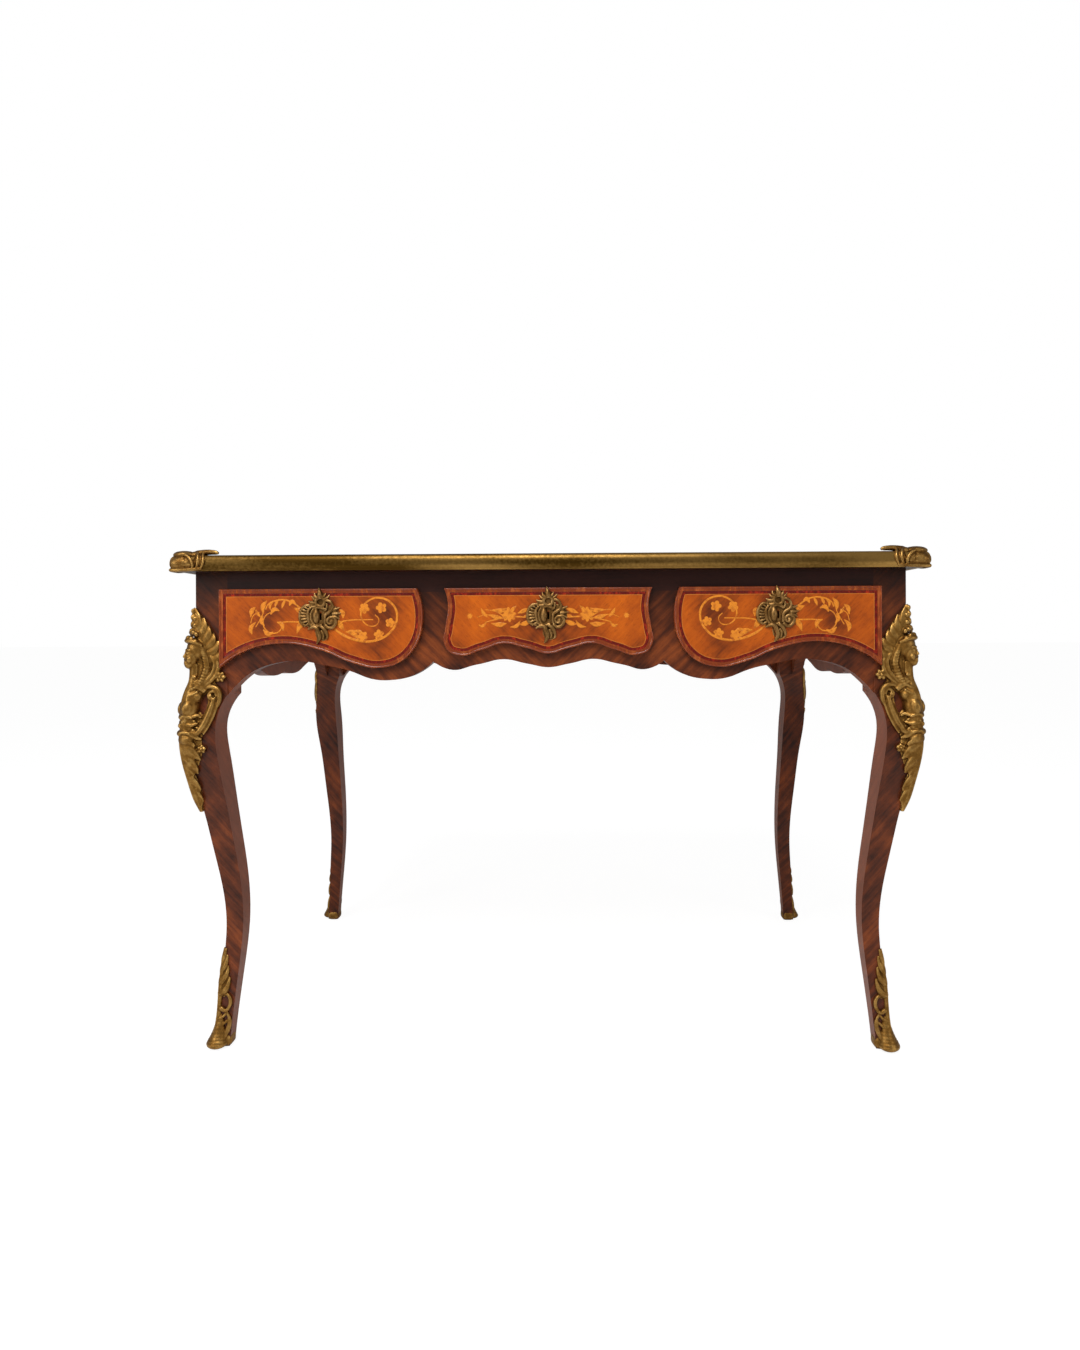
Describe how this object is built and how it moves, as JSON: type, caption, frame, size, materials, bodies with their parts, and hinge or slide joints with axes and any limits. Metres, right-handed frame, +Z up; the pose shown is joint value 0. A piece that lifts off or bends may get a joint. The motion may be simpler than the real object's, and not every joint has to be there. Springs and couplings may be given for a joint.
{
  "type": "writing table",
  "caption": "Flat writing table with lipped frieze drawers, cabriole legs and gilt bronze mounts; drawers slide out and their locks shoot.",
  "frame": {"origin": "on the floor under the middle of the table", "axes": "+X to the sitter's right as the drawer fronts are faced, -Y out of the drawer fronts, +Z up"},
  "size_m": [1.19, 0.72, 0.808],
  "materials": {
    "kingwood_veneer": "polished",
    "marquetry_veneer": "polished",
    "top_veneer": "polished",
    "oak": "matt",
    "tooled_leather": "satin",
    "gilt_bronze": "satin",
    "edge_brass": "polished",
    "lock_brass": "brushed",
    "steel": "brushed"
  },
  "bodies": {
    "root": {"leg_front_left": "kingwood_veneer", "leg_front_right": "kingwood_veneer", "leg_rear_left": "kingwood_veneer", "leg_rear_right": "kingwood_veneer", "top_rail_front": "kingwood_veneer", "apron_front": "kingwood_veneer", "stile_left": "kingwood_veneer", "stile_right": "kingwood_veneer", "side_panel_left": "kingwood_veneer", "side_panel_right": "kingwood_veneer", "rear_panel": "kingwood_veneer", "rear_false_front_left": "marquetry_veneer", "rear_false_front_centre": "marquetry_veneer", "rear_false_front_right": "marquetry_veneer", "top_panel": "top_veneer", "divider_left": "oak", "divider_right": "oak", "drawer_runners": "oak", "drawer_kickers": "oak", "corner_blocks": "oak", "leather_inset": "tooled_leather", "chute_front_left": "gilt_bronze", "chute_front_right": "gilt_bronze", "chute_rear_left": "gilt_bronze", "chute_rear_right": "gilt_bronze", "sabot_front_left": "gilt_bronze", "sabot_front_right": "gilt_bronze", "sabot_rear_left": "gilt_bronze", "sabot_rear_right": "gilt_bronze", "corner_clasp_front_left": "gilt_bronze", "corner_clasp_front_right": "gilt_bronze", "corner_clasp_rear_left": "gilt_bronze", "corner_clasp_rear_right": "gilt_bronze", "rear_escutcheons": "gilt_bronze", "edge_moulding_front": "edge_brass", "edge_moulding_rear": "edge_brass", "edge_moulding_left": "edge_brass", "edge_moulding_right": "edge_brass", "top_screws": "steel"},
    "drawer_left": {"drawer_front_left": "marquetry_veneer", "drawer_sides_left": "oak", "drawer_back_left": "oak", "drawer_bottom_left": "oak", "lock_left": "lock_brass", "escutcheon_left": "gilt_bronze"},
    "bolt_left": {"lock_bolt_left": "steel"},
    "drawer_centre": {"drawer_front_centre": "marquetry_veneer", "drawer_sides_centre": "oak", "drawer_back_centre": "oak", "drawer_bottom_centre": "oak", "lock_centre": "lock_brass", "escutcheon_centre": "gilt_bronze"},
    "bolt_centre": {"lock_bolt_centre": "steel"},
    "drawer_right": {"drawer_front_right": "marquetry_veneer", "drawer_sides_right": "oak", "drawer_back_right": "oak", "drawer_bottom_right": "oak", "lock_right": "lock_brass", "escutcheon_right": "gilt_bronze"},
    "bolt_right": {"lock_bolt_right": "steel"}
  },
  "joints": [
    {"name": "drawer_left_slide", "type": "slide", "parent": "root", "child": "drawer_left", "axis": [0, -1, 0], "range_m": [0, 0.38]},
    {"name": "lock_bolt_left_slide", "type": "slide", "parent": "drawer_left", "child": "bolt_left", "axis": [0, 0, 1], "range_m": [0, 0.007]},
    {"name": "drawer_centre_slide", "type": "slide", "parent": "root", "child": "drawer_centre", "axis": [0, -1, 0], "range_m": [0, 0.38]},
    {"name": "lock_bolt_centre_slide", "type": "slide", "parent": "drawer_centre", "child": "bolt_centre", "axis": [0, 0, 1], "range_m": [0, 0.007]},
    {"name": "drawer_right_slide", "type": "slide", "parent": "root", "child": "drawer_right", "axis": [0, -1, 0], "range_m": [0, 0.38]},
    {"name": "lock_bolt_right_slide", "type": "slide", "parent": "drawer_right", "child": "bolt_right", "axis": [0, 0, 1], "range_m": [0, 0.007]}
  ]
}
